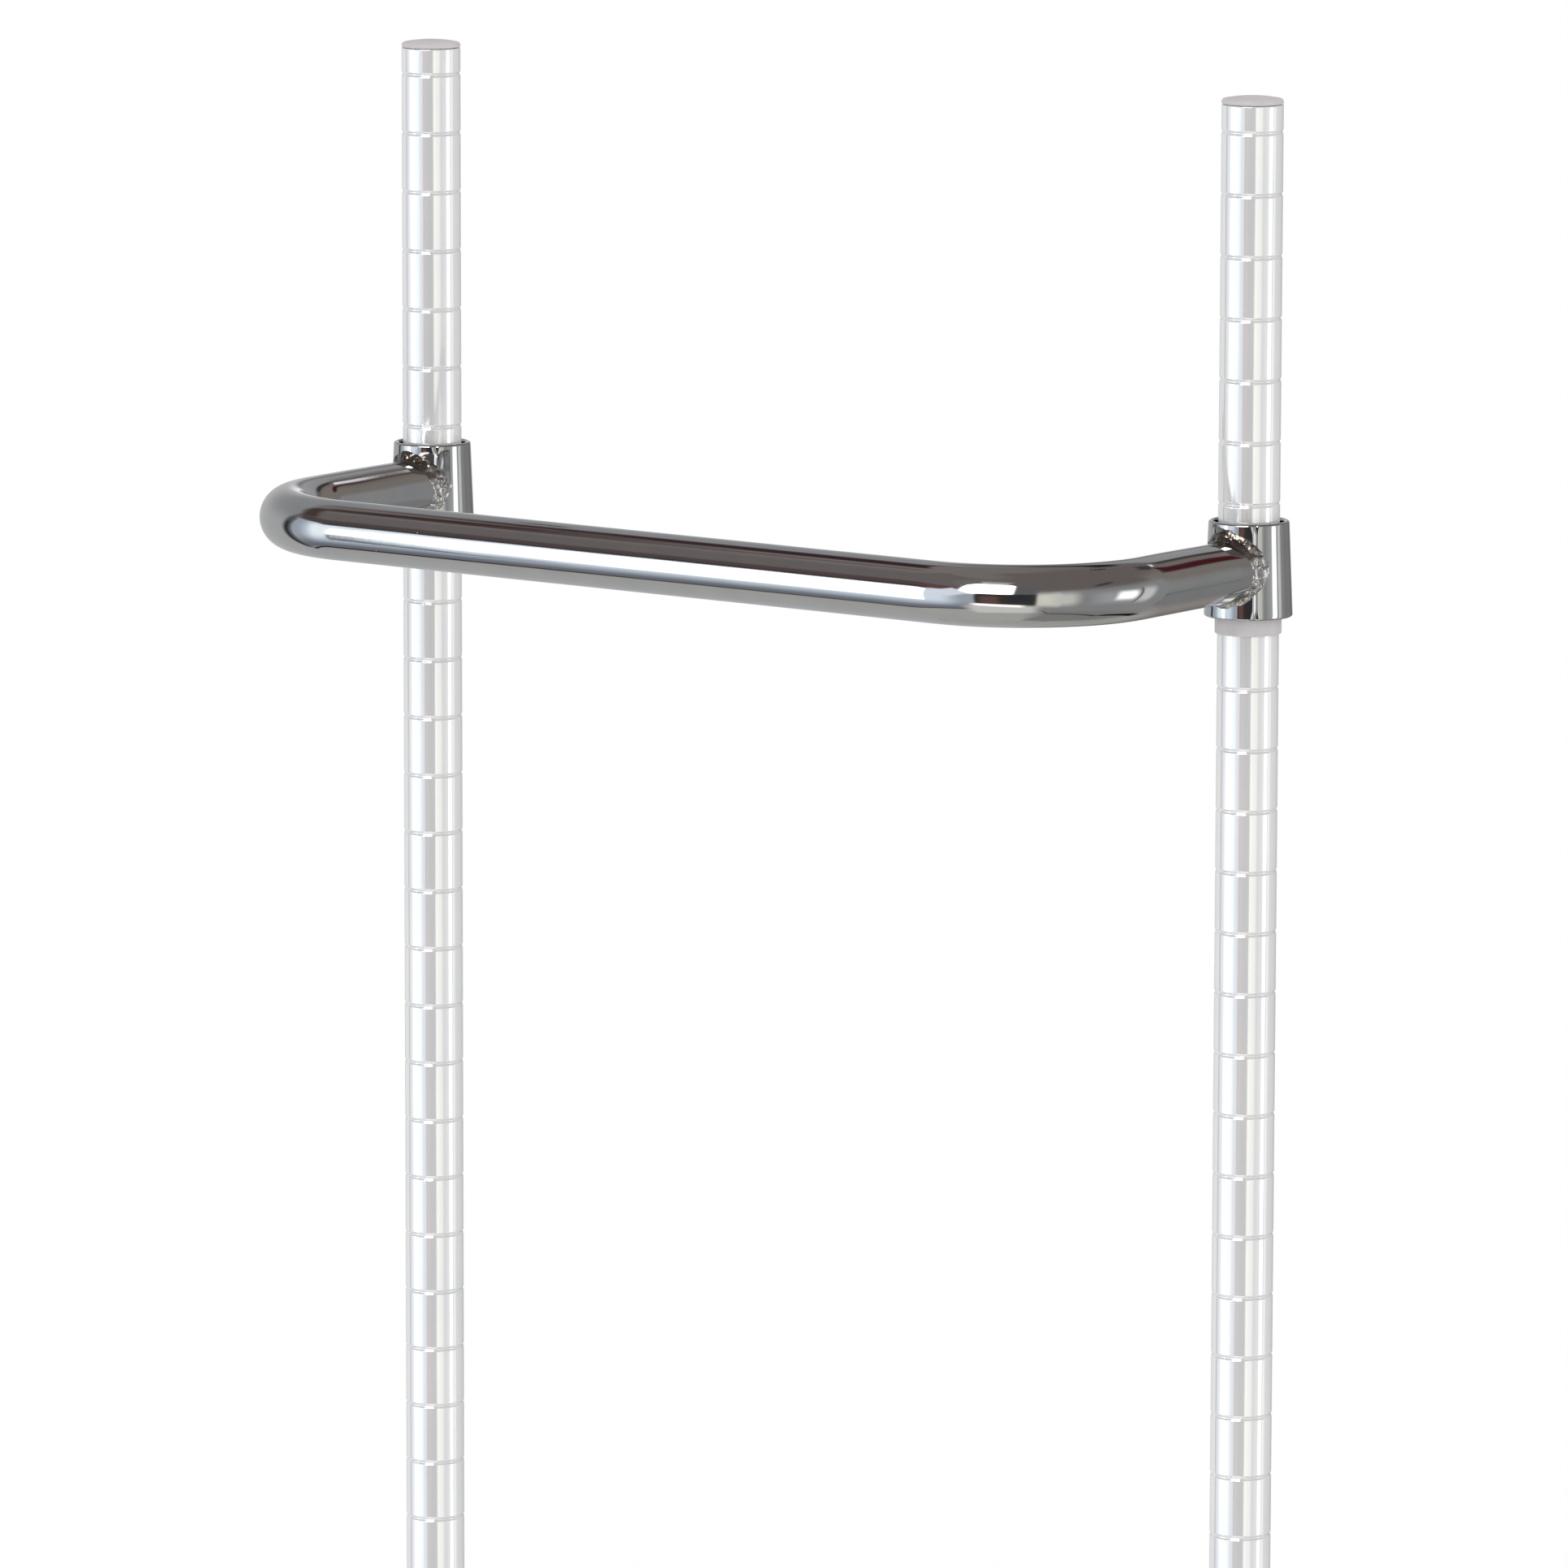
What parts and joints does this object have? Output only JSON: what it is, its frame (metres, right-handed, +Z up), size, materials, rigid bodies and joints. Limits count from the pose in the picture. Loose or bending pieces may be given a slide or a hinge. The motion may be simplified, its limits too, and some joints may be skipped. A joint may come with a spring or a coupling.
{
  "type": "shelving post push handle",
  "caption": "U-shaped push handle with tapered collars, carried on two grooved steel shelving posts with domed caps and screw levelling feet.",
  "frame": {"origin": "on the floor, midway between the two post axes, with the feet at mid height", "axes": "+Z up along the posts; +X from the left post to the right post; the handle bar stands out towards -Y"},
  "size_m": [0.4634, 0.1679, 0.8866],
  "materials": {
    "handle_chrome": "polished chrome plate on bent steel tube",
    "weld_chrome": "chrome plate over an unground weld bead",
    "post_chrome": "pale bright plate on steel tube",
    "cap_plastic": "satin moulded plastic, pale grey",
    "sleeve_plastic": "satin moulded plastic, pale grey",
    "foot_steel": "zinc-plated turned steel",
    "pad_plastic": "moulded glide, grey"
  },
  "bodies": {
    "post_frame": {"left_post": "post_chrome", "right_post": "post_chrome", "left_post_cap": "cap_plastic", "right_post_cap": "cap_plastic", "left_sleeve_front": "sleeve_plastic", "left_sleeve_rear": "sleeve_plastic", "right_sleeve_front": "sleeve_plastic", "right_sleeve_rear": "sleeve_plastic", "left_foot_insert": "foot_steel", "right_foot_insert": "foot_steel"},
    "handle": {"handle_tube": "handle_chrome", "left_collar": "handle_chrome", "right_collar": "handle_chrome", "left_weld": "weld_chrome", "right_weld": "weld_chrome"},
    "left_foot_pad_body": {"left_foot_pad": "pad_plastic"},
    "left_foot_stem_body": {"left_foot_stem": "foot_steel"},
    "right_foot_pad_body": {"right_foot_pad": "pad_plastic"},
    "right_foot_stem_body": {"right_foot_stem": "foot_steel"}
  },
  "joints": [
    {"name": "handle_lift", "type": "slide", "parent": "post_frame", "child": "handle", "axis": [0, 0, 1], "range_m": [0, 0.2]},
    {"name": "left_foot_height", "type": "slide", "parent": "post_frame", "child": "left_foot_pad_body", "axis": [0, 0, 1], "range_m": [-0.0119, 0.00476]},
    {"name": "left_foot_turn", "type": "hinge", "parent": "left_foot_pad_body", "child": "left_foot_stem_body", "pos_m": [-0.2135, 0, 0], "axis": [0, 0, 1], "range_deg": [-2700, 1080]},
    {"name": "right_foot_height", "type": "slide", "parent": "post_frame", "child": "right_foot_pad_body", "axis": [0, 0, 1], "range_m": [-0.0119, 0.00476]},
    {"name": "right_foot_turn", "type": "hinge", "parent": "right_foot_pad_body", "child": "right_foot_stem_body", "pos_m": [0.2135, 0, 0], "axis": [0, 0, 1], "range_deg": [-2700, 1080]}
  ],
  "couplings": [
    {"joint": "left_foot_turn", "follows": "left_foot_height", "rad_per_m": 3957.9},
    {"joint": "right_foot_turn", "follows": "right_foot_height", "rad_per_m": 3957.9}
  ]
}
